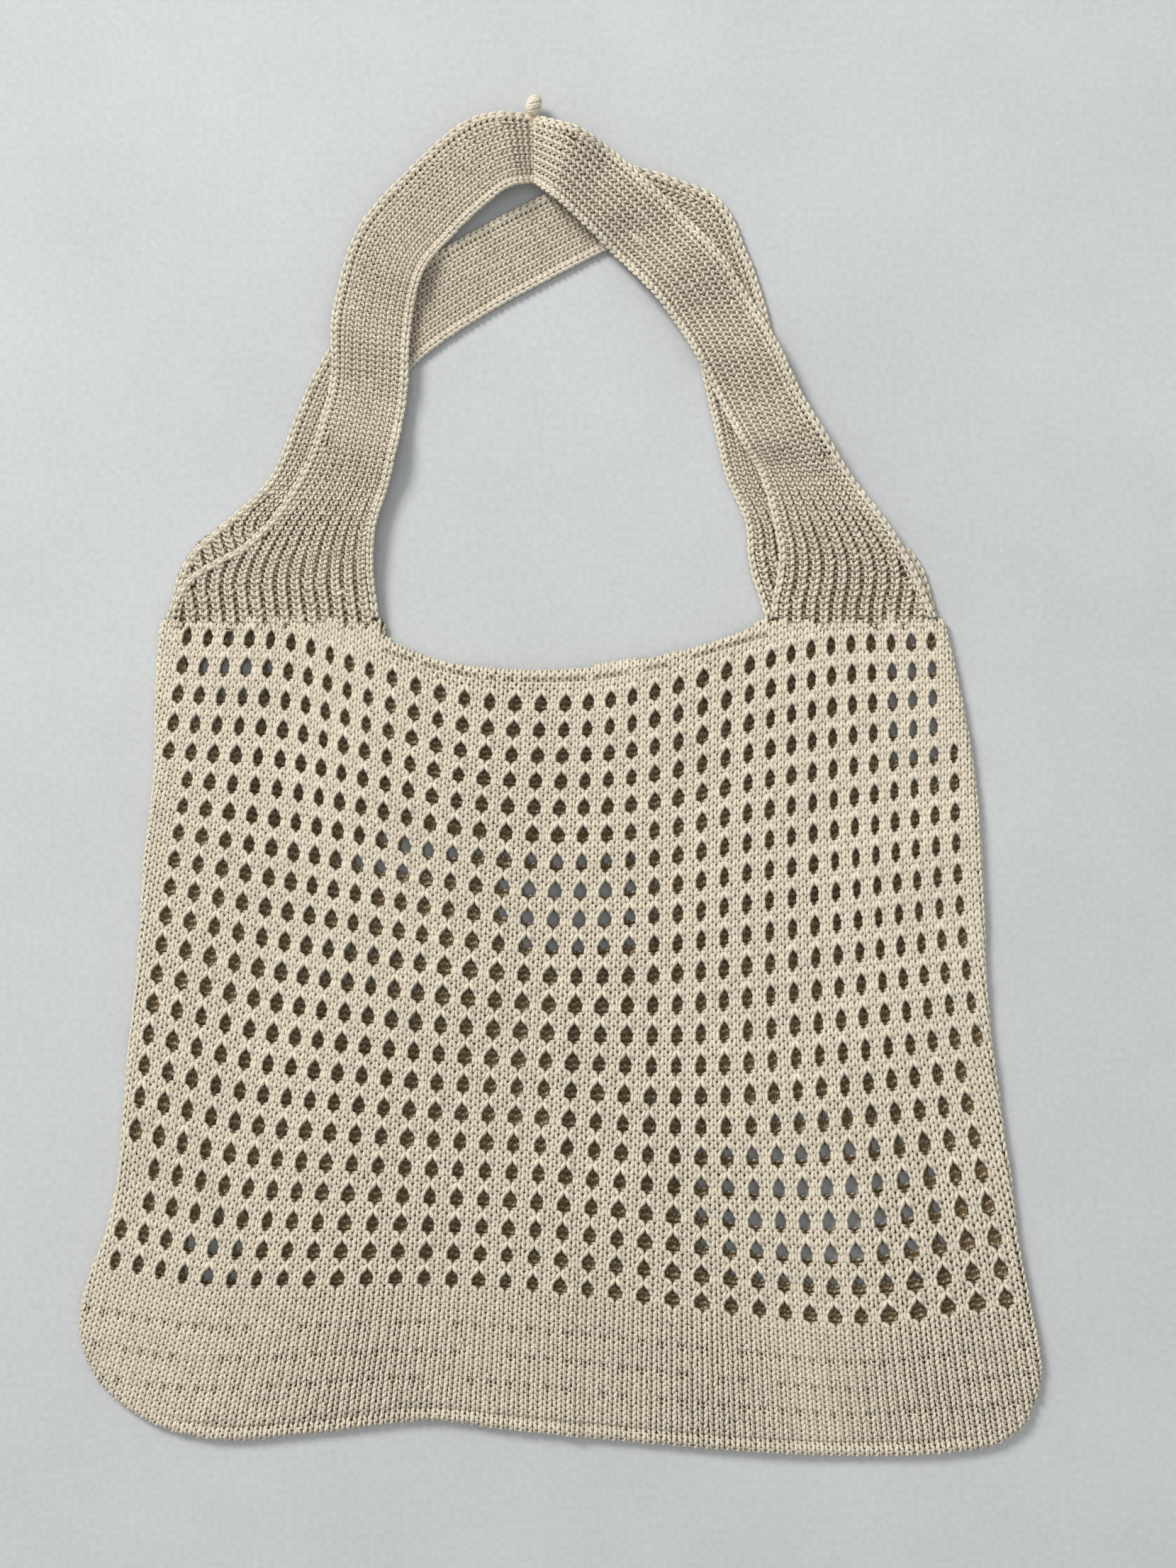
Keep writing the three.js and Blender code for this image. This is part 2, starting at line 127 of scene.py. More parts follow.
# The outlines are drawn from the middle of the bag; this puts their lowest point on the CAD's.
shift_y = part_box("base_seam")[0].y * 1000 - base_line[:, 1].min()

left_chain = np.vstack([base_line[base_line[:, 0] < -150][::-1], left_side[::-1]])
right_chain = np.vstack([base_line[base_line[:, 0] > 150], right_side])
base_chain = np.vstack([left_side[left_side[:, 1] < -227], base_line, right_side[right_side[:, 1] < -245]])


def left_at(y):
    """The outline's left edge at a height y, round the base corner too."""
    return np.interp(y, left_chain[:, 1], left_chain[:, 0])


def right_at(y):
    """The outline's right edge at a height y."""
    return np.interp(y, right_chain[:, 1], right_chain[:, 0])


def base_at(x):
    """The outline's lower edge at x."""
    return np.interp(x, base_chain[:, 0], base_chain[:, 1])


def mouth_at(x):
    """The mouth's edge, which runs on level across the shoulders' base."""
    return np.interp(x, mouth_edge[:, 0], mouth_edge[:, 1])


def inset(x, y):
    """How far a point is inside the sides and the base: as for a straight edge, the inverse squares of the
    distances measured level and upright add up. Outside it is negative."""
    level = np.minimum(x - left_at(y), right_at(y) - x)
    level = np.where((np.abs(x) < 153) & (y < -200), 1e3, level)
    upright = np.where((x < base_chain[0, 0]) | (x > base_chain[-1, 0]), 1e3, y - base_at(x))
    far = np.hypot(np.maximum(np.abs(level), 1e-6) ** -1, np.maximum(np.abs(upright), 1e-6) ** -1) ** -1
    return np.where((level < 0) | (upright < 0), -far, far)


def waves(x, y, seed, length, height):
    """Soft unevenness of cloth that lies on a table: a few crossed swells of about one length."""
    rng = np.random.default_rng(seed)
    total = np.zeros_like(x)
    for turn, phase, stretch in rng.uniform([0, 0, 0.7], [math.pi, 6.3, 1.4], (5, 3)):
        total += np.sin((x * math.cos(turn) + y * math.sin(turn)) * 2 * math.pi / length / stretch + phase)
    return total * height / 5**0.5


def face_height(x, y, layer):
    """The middle of a knitted layer above the table: close to the other at the sewn edges, full gap in the
    middle, the fold's gap at the fold line."""
    if layer == "back":
        return np.full_like(x, LAYER / 2 + OFF_TABLE)
    side = smooth((np.minimum(x - left_at(y), right_at(y) - x) - SEAM) / RISE)
    hem = y - base_at(x)
    foot = smooth((hem - SEAM) / RISE)
    gap = RIM_GAP + (BAG_GAP - RIM_GAP) * side * foot
    gap = gap + (FOLD_GAP - gap) * smooth((y - YOKE_BASE) / (FOLD_Y - YOKE_BASE))
    # A crease runs up the middle of the base band, and a groove along its edge, where the seam allowance ends.
    crease = 1.1 * np.exp(-((x + 1 + 0.02 * y) / 3.5) ** 2) * smooth((-75 - y) / 40)
    reach = smooth((x + 185) / 40) * smooth((195 - x) / 40)
    groove = -1.5 * np.exp(-((hem - 6.2) / 1.5) ** 2) * reach
    return 1.5 * LAYER + gap + crease + groove + waves(x, y, 3, 95, 0.45) * side


ROLL = (LAYER + RIM_GAP) / 2       # radius of the middle of the knit where it turns round the sewn edge
TURN_IN = LAYER / 2 + ROLL         # where that turn begins, in from the outline


def lay(x, y, layer):
    """Puts a flat point of a face in its place. Within a few millimetres of the outline the knit turns round a
    half circle to the underside, and at the mouth it turns down."""
    z = face_height(x, y, layer)
    if layer == "back":
        return np.stack([x, y, z - 0.4 * smooth((3.0 - mouth_at(x) + y) / 3.0)], -1)
    inside = inset(x, y)
    step = 0.2
    slope = np.stack([inset(x + step, y) - inside, inset(x, y + step) - inside], -1)
    slope /= np.maximum(np.linalg.norm(slope, axis=-1, keepdims=True), 1e-9)
    angle = np.clip((TURN_IN - inside) / ROLL, 0, math.pi)
    moved = TURN_IN - ROLL * np.sin(angle) - inside
    rolled = angle > 0
    x = np.where(rolled, x + slope[..., 0] * moved, x)
    y = np.where(rolled, y + slope[..., 1] * moved, y)
    z = z - ROLL * (1 - np.cos(angle))
    lip = 1.4    # radius of the mouth's turned edge
    over = np.clip((lip - mouth_at(x) + y) / lip, 0, 2.4) * ((x > -76) & (x < 88))
    y = y - lip * (over - np.sin(over))
    return np.stack([x, y, z - lip * (1 - np.cos(over))], -1)


# ---- The two faces as a grid of wales and courses ----
# Where every twelfth wale lies, at four heights, and how high five rows of eyelets and both edges lie.
wale_knots = np.arange(-48, 49, 12)
wale_rows = [0, 26, 65, 112]
wale_x = np.array([
    [-206, -166, -118, -64, -14, 34, 87, 133, 186],
    [-188, -149, -106, -57.5, -11.7, 35, 84, 127, 176],
    [-169, -128, -90, -50, -5, 39, 79, 118, 154],
    [-148, -113, -80, -40, 2.5, 40, 80, 114, 148]])
course_rows = [0, 26, 50, 74, 94, 110, 115]
course_y = np.array([
    [-276, -280.5, -278.5, -273.7, -277.5, -282.5, -286.3, -288, -285],
    [-204, -211, -212, -211.5, -214, -219, -224.5, -228, -222],
    [-121.7, -132.4, -137.5, -141.3, -143.8, -147.2, -147.4, -144, -139.2],
    [-46.5, -55, -61.5, -68, -72, -71, -66.5, -61.5, -56.5],
    [10.5, 7.5, -0.5, -10, -13, -10.5, -2.5, 3.5, 8],
    [59, 57, 45, 33, 31, 36, 47.5, 55.5, 57],
    [74, 72, 59.5, 47.5, 45.3, 50.5, 62.5, 71, 72]])
FIRST_EYELETS, EYELET_ROWS = 26, 22     # course at the middle of the first row, and rows
EVERY_WALE, EVERY_COURSE = 3, 4         # a repeat: one wale of eyelets in three, two courses open of four
PLAIN, LEFT_OUT, ABOVE, BELOW = range(4)    # what the loop in a cell is, beside the eyelets


def face_xy(wale, course):
    """Where a wale and a course cross: each station row is smoothed across, then the rows upwards."""
    w, c = wale.ravel(), course.ravel()
    x = through(wale_rows, np.stack([through(wale_knots, row, w) for row in wale_x]), c)
    y = through(course_rows, np.stack([through(wale_knots, row, w) for row in course_y]), c)
    return x.reshape(wale.shape), y.reshape(wale.shape)


def nearest_eyelet(wale, course):
    """Column and row of the eyelet nearest to a place in the grid."""
    row = np.clip(np.round((course - FIRST_EYELETS) / EVERY_COURSE), 0, EYELET_ROWS - 1)
    return np.round(wale / EVERY_WALE), row


def eyelet_near(wale, course):
    """The offset in wales and courses from the nearest eyelet, and how large that one is."""
    column, row = nearest_eyelet(wale, course)
    dw, dc = wale - column * EVERY_WALE, course - FIRST_EYELETS - row * EVERY_COURSE
    noise = np.sin(column * 12.9898 + row * 78.233) * 43758.5453
    noise = noise - np.floor(noise)
    swell = 0.96 + 0.13 * np.sin(column / 6.1 - 0.4) * np.sin(row / 5.3 + 2.4) + 0.24 * (noise - 0.5)
    return dw, dc, swell


def opened(layer, wale, course, size):
    """Pushes the loops aside round each eyelet, which is widest low down and pointed at the top. The distance
    from its middle, measured so that the rim is 1, becomes the fifth root of its fifth power plus one."""
    dw, dc, swell = eyelet_near(wale, course)
    a = size[0] * swell * (1.06 - 0.42 * smooth((dc + 0.5) / 1.8))
    b = size[1] * swell
    distance = np.maximum(np.hypot(dw / a, dc / b), 0.35)
    push = ((distance**5 + 1) ** 0.2 / distance - 1) * is_open(layer, wale, course)
    push = push * smooth((2 - np.abs(dc)) / 0.6) * smooth((1.5 - np.abs(dw)) / 0.35)
    return wale + dw * push, course + dc * push


def is_open(layer, wale, course):
    """Whether the nearest eyelet is one of the face's 36 columns and not in the turn at the sewn edge."""
    column, row = nearest_eyelet(wale, course)
    x, y = flat_of(layer, column * EVERY_WALE, FIRST_EYELETS + row * EVERY_COURSE)
    return (column > -18) & (column < 19) & (inset(x, y) > 6.5)


def eyelet_part(layer, wale, course):
    """What the loop in a cell is: plain, left out for an eyelet, just above one or just below one."""
    dw, dc, _ = eyelet_near(wale, course + 0.5)
    middle = (np.abs(dw) < 0.5) & is_open(layer, wale, course + 0.5)
    places = [middle & (np.abs(dc) < 1), middle & (dc > 1) & (dc < 2), middle & (dc < -1) & (dc > -2)]
    return np.select(places, [LEFT_OUT, ABOVE, BELOW], PLAIN)


# Where the eyelets of the two faces meet, so that the table shows through: middle, half width and half height.
clear_spots = [
    (3, -57, 40, 30), (104, -185, 62, 40), (-66, -36, 34, 9),
    (-142, 44, 22, 16), (150, 26, 18, 36), (-150, -205, 20, 20)]


def slipped(wale, course):
    """A place of the back face, slipped half a repeat against the front one, save in the clear spots."""
    x, y = face_xy(wale, course)
    clear = np.zeros_like(x)
    for spot_x, spot_y, wide, high in clear_spots:
        clear = np.maximum(clear, np.exp(-(((x - spot_x) / wide) ** 2 + ((y - spot_y) / high) ** 2) ** 1.5))
    sway = 0.35 * np.sin(x / 31 + y / 47) + 0.2 * np.sin(y / 19)
    return wale + (1.45 + sway) * (1 - clear), course + (1.9 - sway * 1.6) * (1 - clear)


# ---- Yarn ----
# One knitted loop as points of its yarn: across in wales, up in courses, out of the face in millimetres, and
# how full the yarn is. It comes up between the legs of the loop below, forms the two arms of the V, and turns
# behind the next loop. The right arm lies a little prouder, as the yarn's twist makes it.
def loop(*half, head, lean=0.08):
    """A whole loop from its foot and left arm: the right arm mirrors the left."""
    left = np.array(half, float)
    right = left[:0:-1] * [-1, 1, 1, 1]
    left[1:, 2] -= lean
    right[:, 2] += lean
    return np.vstack([left, [head], right])


plain_loop = loop(
    [-0.5, 0.0, -0.62, 0.8], [-0.12, 0.0, 0.02, 0.8], [-0.235, 0.50, 0.52, 1.05], [-0.375, 1.06, 0.14, 0.85],
    head=[0, 1.26, -0.62, 0.8])
above_loop = loop(
    [-0.80, 0.10, -0.70, 0.8], [-0.60, -0.22, -0.1, 1.0], [-0.37, 0.42, 0.5, 1.3], [-0.13, 1.02, 0.3, 1.0],
    head=[0, 1.3, -0.62, 0.7])
below_loop = loop(
    [-0.5, 0.0, -0.62, 0.8], [-0.12, 0.0, 0.0, 1.0], [-0.33, 0.52, 0.42, 1.3], [-0.64, 1.14, -0.05, 0.95],
    head=[0, 0.75, -0.9, 0.7])
face_loops = np.stack([plain_loop, plain_loop, above_loop, below_loop])
light_loop = loop(
    [-0.5, 0.0, -0.56, 0.95], [-0.22, 0.14, 0.0, 0.9], [-0.32, 0.90, 0.40, 1.0],
    head=[0, 1.26, -0.56, 0.95], lean=0)


def on_surface(surface, a, b, height):
    """Points at a height above a surface of two parameters, with the surface's unit normal there."""
    here = surface(a, b)
    step = 0.05
    normal = np.cross(surface(a + step, b) - here, surface(a, b + step) - here)
    normal /= np.linalg.norm(normal, axis=-1, keepdims=True)
    return here + normal * height[..., None], normal


def courses_of(wales, courses, shapes, rng, uneven=1.0):
    """Every course as one run of yarn through all its loops: arrays of across, up, out, fullness and tone, a
    row to a course. The shapes hold one loop for each cell, or one for all, each a little off its place."""
    grid = (len(courses), len(wales), 1)
    stray = np.array([0.022, 0.028, 0.06, 0.035]) * uneven     # across, up, out, and in how full the yarn is
    off = rng.normal(0, 1, (4, *grid)) * stray.reshape(4, 1, 1, 1)
    shapes = np.broadcast_to(shapes, (*grid[:2], *shapes.shape[-2:]))
    across = wales[None, :, None] + shapes[..., 0] * (1 + off[3]) + off[0]
    up = courses[:, None, None] + shapes[..., 1] + off[1]
    out = shapes[..., 2] + off[2]
    full = shapes[..., 3] * (1 + off[3])
    tone = np.broadcast_to(rng.normal(0, 1, grid), across.shape)
    return [values.reshape(len(courses), -1) for values in (across, up, out, full, tone)]


def tube(points, normals, keep, size, sides, tone, out, full):
    """Yarn along runs of points, half its width and height given: at each point a ring of corners is square to
    the run, the first one on top, and neighbouring rings are joined where the run is kept. Flat ends close it.
    A value for painted shade goes from 0 deep in the knit and on the yarn's underside to 1 on a crown; out is
    used only for it. Returns arrays for a mesh."""
    runs, count, _ = points.shape
    along = np.gradient(points, axis=1)
    along /= np.linalg.norm(along, axis=-1, keepdims=True)
    side = np.cross(along, normals)
    side /= np.maximum(np.linalg.norm(side, axis=-1, keepdims=True), 1e-9)
    top = np.cross(side, along)
    turn = np.arange(sides) * 2 * math.pi / sides
    ring = side[:, :, None] * np.sin(turn)[:, None] * size[0]
    ring = ring + top[:, :, None] * np.cos(turn)[:, None] * size[1]
    corners = points[:, :, None] + ring * full[..., None, None]
    # Painted shade: darker on the yarn's underside and deep in the knit.
    shade_relief = (out[:, :, None] + np.cos(turn) * size[1] + 0.9) / 2.0
    steps = np.linalg.norm(np.diff(points, axis=1), axis=-1)
    length = np.pad(np.cumsum(steps, 1), ((0, 0), (1, 0)))
    first = np.arange(runs * count).reshape(runs, count)
    link = keep[:, 1:] & keep[:, :-1]
    k = np.arange(sides)
    start = first[:, :-1][link][:, None] * sides
    beside = (k + 1) % sides
    quads = np.stack([start + k, start + sides + k, start + sides + beside, start + beside], -1).reshape(-1, 4)
    low, high = length[:, :-1][link][:, None] + 0 * k, length[:, 1:][link][:, None] + 0 * k
    near = np.broadcast_to(k / sides, low.shape)
    far = near + 1 / sides
    uv = np.stack([np.stack(pair, -1) for pair in ((low, near), (high, near), (high, far), (low, far))], -2)
    behind, ahead = np.pad(link, ((0, 0), (1, 0))), np.pad(link, ((0, 0), (0, 1)))
    opens = first[ahead & ~behind][:, None] * sides + k
    closes = first[behind & ~ahead][:, None] * sides + k[::-1]
    return {
        "corners": corners.reshape(-1, 3),
        "quads": quads,
        "caps": np.concatenate([opens, closes]),
        "uv": uv.reshape(-1, 2),
        "shade_relief": shade_relief.ravel(),
        "tone": np.repeat(tone.ravel(), sides),
    }


def joined(parts):
    """Several tubes' arrays as one."""
    start, quads, caps = 0, [], []
    for part in parts:
        quads.append(part["quads"] + start)
        caps.append(part["caps"] + start)
        start += len(part["corners"])
    both = {key: np.concatenate([part[key] for part in parts]) for key in ("corners", "uv", "shade_relief", "tone")}
    return {**both, "quads": np.concatenate(quads), "caps": caps}


def mesh_object(name, corners, faces, material, uv=None, attributes=None, is_smooth=True):
    """A finished object from corners in millimetres and a list of face arrays, a row to a face."""
    used = np.zeros(len(corners), bool)
    for block in faces:
        used[block.ravel()] = True
    place = np.cumsum(used) - 1
    corners = (corners[used] + [0, shift_y, 0]) * MILLIMETRE
    flat = np.concatenate([place[block].ravel() for block in faces])
    counts = np.concatenate([np.full(len(block), block.shape[1]) for block in faces])
    mesh = bpy.data.meshes.new(name)
    mesh.vertices.add(len(corners))
    mesh.vertices.foreach_set("co", corners.astype(np.float32).ravel())
    mesh.loops.add(len(flat))
    mesh.loops.foreach_set("vertex_index", flat.astype(np.int32))
    mesh.polygons.add(len(counts))
    mesh.polygons.foreach_set("loop_start", np.r_[0, np.cumsum(counts)[:-1]].astype(np.int32))
    mesh.update(calc_edges=True)
    low, high = corners.min(0), corners.max(0)
    flat_map = 0.01 + 0.98 * (corners[:, :2] - low[:2]) / np.maximum(high - low, 1e-6)[:2]
    if uv is not None:
        layer = mesh.uv_layers.new(name="Yarn")
        values = np.zeros((len(flat), 2), np.float32)
        values[: len(uv)] = uv
        layer.data.foreach_set("uv", values.ravel())
    layer = mesh.uv_layers.new(name="OFBake")
    layer.data.foreach_set("uv", flat_map[flat].astype(np.float32).ravel())
    for key, values in (attributes or {}).items():
        mesh.attributes.new(key, "FLOAT", "POINT").data.foreach_set("value", values[used].astype(np.float32))
    mesh.polygons.foreach_set("use_smooth", np.full(len(counts), is_smooth))
    mesh.materials.append(material)
    made = bpy.data.objects.new(name, mesh)
    bpy.context.scene.collection.objects.link(made)
    return made


def yarn_object(name, parts, material):
    """Tubes of yarn joined into one object, with the map that runs along the yarn."""
    yarn = joined(parts)
    faces = [yarn["quads"], *[block for block in yarn["caps"] if len(block)]]
    attributes = {key: yarn[key] for key in ("shade_relief", "tone")}
    return mesh_object(name, yarn["corners"], faces, material, yarn["uv"], attributes)


def slab_object(name, points, normals, keep, thick, material):
    """A thin closed cloth over a grid of points: kept cells above and below, and a wall along each edge."""
    rows, columns, _ = points.shape
    corners = np.stack([points + normals * thick / 2, points - normals * thick / 2]).reshape(-1, 3)
    at = np.arange(rows * columns).reshape(rows, columns)
    low = rows * columns
    a, b, c, d = at[:-1, :-1][keep], at[:-1, 1:][keep], at[1:, 1:][keep], at[1:, :-1][keep]
    faces = [np.stack([a, b, c, d], 1), np.stack([d, c, b, a], 1) + low]
    padded = np.pad(keep, 1)
    inner = padded[1:-1, 1:-1]
    for beside, start, end in (
        (padded[:-2, 1:-1], at[:-1, :-1], at[:-1, 1:]), (padded[2:, 1:-1], at[1:, 1:], at[1:, :-1]),
        (padded[1:-1, :-2], at[1:, :-1], at[:-1, :-1]), (padded[1:-1, 2:], at[:-1, 1:], at[1:, 1:]),
    ):
        edge = inner & ~beside
        p, q = start[edge], end[edge]
        faces.append(np.stack([p, p + low, q + low, q], 1))
    zero = np.zeros(len(corners))
    return mesh_object(name, corners, faces, material, None, {"shade_relief": zero, "tone": zero}, False)


# ---- Materials ----
def linear(code):
    """An sRGB hex colour as linear red, green, blue."""
    parts = [int(code[k : k + 2], 16) / 255 for k in (1, 3, 5)]
    return tuple(p / 12.92 if p <= 0.04045 else ((p + 0.055) / 1.055) ** 2.4 for p in parts)


def node(tree, kind, settings=None, **links):
    """Adds a node: settings go to its properties, and links by input name, or i and its number, take a value
    or another node's output."""
    made = tree.nodes.new(kind)
    for key, value in (settings or {}).items():
        setattr(made, key, value)
    for key, value in links.items():
        numbered = key[0] == "i" and key[1:].isdigit()
        socket = made.inputs[int(key[1:]) if numbered else key.replace("_", " ")]
        if isinstance(value, bpy.types.NodeSocket):
            tree.links.new(value, socket)
        else:
            socket.default_value = value
    return made


def cotton(name, top, groove):
    """Undyed cotton yarn: soft plies, matt and slightly hairy, pale on the crown of a loop. In the gaps and
    under each yarn it is painted brown with shade, where light has been through a lot of cotton."""
    material = bpy.data.materials.new(name)
    material.use_nodes = True
    tree = material.node_tree
    shader = tree.nodes["Principled BSDF"]
    shade_relief = node(tree, "ShaderNodeAttribute", {"attribute_name": "shade_relief"}).outputs["Fac"]
    tone = node(tree, "ShaderNodeAttribute", {"attribute_name": "tone"}).outputs["Fac"]
    where = node(tree, "ShaderNodeTexCoord").outputs["Object"]
    yarn = node(tree, "ShaderNodeUVMap", {"uv_map": "Yarn"}).outputs["UV"]
    split = node(tree, "ShaderNodeSeparateXYZ", i0=yarn).outputs
    # Six light strands show round the yarn, and turn once in 15 mm of it. The darker lines between them are
    # painted shade.
    add = {"operation": "MULTIPLY_ADD"}
    strand = node(tree, "ShaderNodeMath", {"operation": "MULTIPLY"}, i0=split["Y"], i1=6.0)
    turns = node(tree, "ShaderNodeMath", add, i0=split["X"], i1=6 / 15, i2=strand.outputs[0])
    angle = node(tree, "ShaderNodeMath", {"operation": "MULTIPLY"}, i0=turns.outputs[0], i1=2 * math.pi)
    ply = node(tree, "ShaderNodeMath", {"operation": "SINE"}, i0=angle.outputs[0]).outputs[0]
    # Fibres are far finer than can show, so the hairiness is drawn about 0.7 mm coarse. Clouds are 45 mm wide.
    fibre = node(tree, "ShaderNodeTexNoise", Vector=where, Scale=1400.0, Detail=2.0).outputs["Fac"]
    cloud = node(tree, "ShaderNodeTexNoise", Vector=where, Scale=22.0, Detail=3.0).outputs["Fac"]
    # Painted shade: the colour runs from the gap colour deep in the knit and under each yarn to the crown
    # colour on top.
    shade_mix = node(tree, "ShaderNodeMapRange", {"interpolation_type": "SMOOTHSTEP"}, i0=shade_relief, i1=0.12, i2=0.86)
    body = node(
        tree, "ShaderNodeMix", {"data_type": "RGBA"}, i0=shade_mix.outputs[0], i6=(*groove, 1), i7=(*top, 1))
    # The ply lines are painted shade between the strands; the random tone, clouds and fibres are the cotton's
    # own colour.
    shade = 1.0
    for pattern, amount in ((ply, 0.13), (tone, 0.035), (cloud, 0.16), (fibre, 0.12)):
        shade = node(tree, "ShaderNodeMath", add, i0=pattern, i1=amount, i2=shade).outputs[0]
    # Clouds and fibres average a half, and that is taken off again.
    shade = node(tree, "ShaderNodeMath", {"operation": "ADD"}, i0=shade, i1=-0.14).outputs[0]
    colour = node(tree, "ShaderNodeVectorMath", {"operation": "SCALE"}, i0=body.outputs[2], Scale=shade)
    tree.links.new(colour.outputs[0], shader.inputs["Base Color"])
    lumps = node(tree, "ShaderNodeMath", add, i0=ply, i1=0.6, i2=fibre)
    bump = node(tree, "ShaderNodeBump", Strength=0.5, Distance=0.00018, Height=lumps.outputs[0])
    tree.links.new(bump.outputs[0], shader.inputs["Normal"])
    shader.inputs["Roughness"].default_value = 0.93
    shader.inputs["Specular IOR Level"].default_value = 0.25
    shader.inputs["Sheen Weight"].default_value = 0.18
    shader.inputs["Sheen Roughness"].default_value = 0.6
    return material


# ---- Settings ----
def number(label, about, value, unit="NONE"):
    """A setting that is a number."""
    return bpy.props.FloatProperty(name=label, description=about, default=value, unit=unit)


def hue(label, about, code):
    """A colour setting whose default is an sRGB hex colour."""
    return bpy.props.FloatVectorProperty(name=label, description=about, subtype="COLOR", default=linear(code))


class BagSizes(bpy.types.PropertyGroup):
    """Sizes of the yarn, the loops and the eyelets."""

    yarn: number("Yarn width", "Width of the yarn in the bag's faces", 0.00178, "LENGTH")
    strap_yarn: number("Strap yarn width", "Width of the yarn in the shoulders and straps", 0.0015, "LENGTH")
    eyelet_width: number("Eyelet width", "Half the width of an eyelet, in wales", 0.98)
    eyelet_height: number("Eyelet height", "Half the height of an eyelet, in courses", 1.04)
    unevenness: number("Unevenness", "How far the loops wander from an even grid", 1.0)


class BagColours(bpy.types.PropertyGroup):
    """Colours of the cotton, of the painted shade deep in its knit, and of the table."""

    crown: hue("Yarn", "The crown of a loop", "#E3D7C1")
    # Painted shade: the gap colours are mixed in deep between the loops and under each yarn, and the inner
    # yarn colour darkens the cloth deep in the knit.
    gap: hue("Gaps", "The yarn deep between the loops", "#8C7248")
    strap_gap_shade: hue("Strap gaps", "The yarn deep in the close rib of the straps", "#7C6340")
    inner: hue("Inner yarn", "The yarn that shows only through the finest gaps", "#3F2F1B")
    table: hue("Table", "The pale stone that the bag lies on", "#CED0CE")


def sizes():
    """The scene's sizes."""
    return bpy.context.scene.bag_sizes


def cotton_of(slot):
    """The cotton of one of the record's material slots, made once. The straps' close rib has darker painted
    shade in its gaps.
    """
    made = {"mesh_knit": "eyelet knitted", "plain_knit": "plain knitted", "strap_knit": "close rib knitted",
            "bound_edge": "bound off", "seam_yarn": "seamed"}
    name = "Cotton yarn, " + made[slot]
    hues = bpy.context.scene.bag_colours
    groove = hues.strap_gap_shade if slot == "strap_knit" else hues.gap
    return bpy.data.materials.get(name) or cotton(name, hues.crown, groove)


def inner_shade_cotton(layer):
    """Painted shade deep in the knit, seen only between loops: a dark brown cotton in front, and paler in the
    back face.
    """
    hues = bpy.context.scene.bag_colours
    name = f"Cotton yarn, inner strands, {layer}"
    tint = hues.inner if layer == "front" else hues.gap
    return bpy.data.materials.get(name) or cotton(name, tint, tint)


def settle(obj, body, slot, *nodes):
    """Puts a finished piece on its body and hides the CAD nodes that it stands for."""
    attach(obj, body)
    if nodes:
        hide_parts(*nodes)
    return obj


# ---- Faces ----
def flat_of(layer, wale, course):
    """Where a wale and a course of a face cross when it is flat."""
    return face_xy(*(slipped(wale, course) if layer == "back" else (wale, course)))


def on_face(layer, wale, course, out):
    """Points of a face at a height out of it, pushed aside by the eyelets, and the normals there."""
    wale, course = opened(layer, wale, course, (sizes().eyelet_width, sizes().eyelet_height))
    return on_surface(lambda w, c: lay(*flat_of(layer, w, c), layer), wale, course, out)


MOUTH = (-75.5, 88)        # the mouth's two ends
TUCKED = (18, 13, 8)       # courses of the base band with tucked loops
NECK_COURSE = 113          # the turned course of the neck band
CHAIN = 3.1                # length of a loop of the chain along a strap's edges
CHAIN_BASE = 66            # height at which the chain begins
YARN_SIDES = 4             # corners round the yarn of a loop
HALF = 500                 # from a width in metres to half of it in millimetres


def yoke_line(x):
    """Where the shoulder's rib begins: a little up and down, as the columns run into one another."""
    return 65.5 + 1.7 * np.sin(x * 2 * math.pi / 11.3) + 0.9 * np.sin(x / 2.7)


def within(layer, x, y):
    """Whether a cell with this middle belongs to the face: out to the end of its turn and up to the mouth."""
    low = 2.6 if layer == "back" else TURN_IN - ROLL * math.pi + 0.6
    in_mouth = (x > MOUTH[0]) & (x < MOUTH[1])
    top = np.where(in_mouth, mouth_at(x) + (0.6 if layer == "front" else -2.5), yoke_line(x))
    return (inset(x, y) > low) & (y < top)


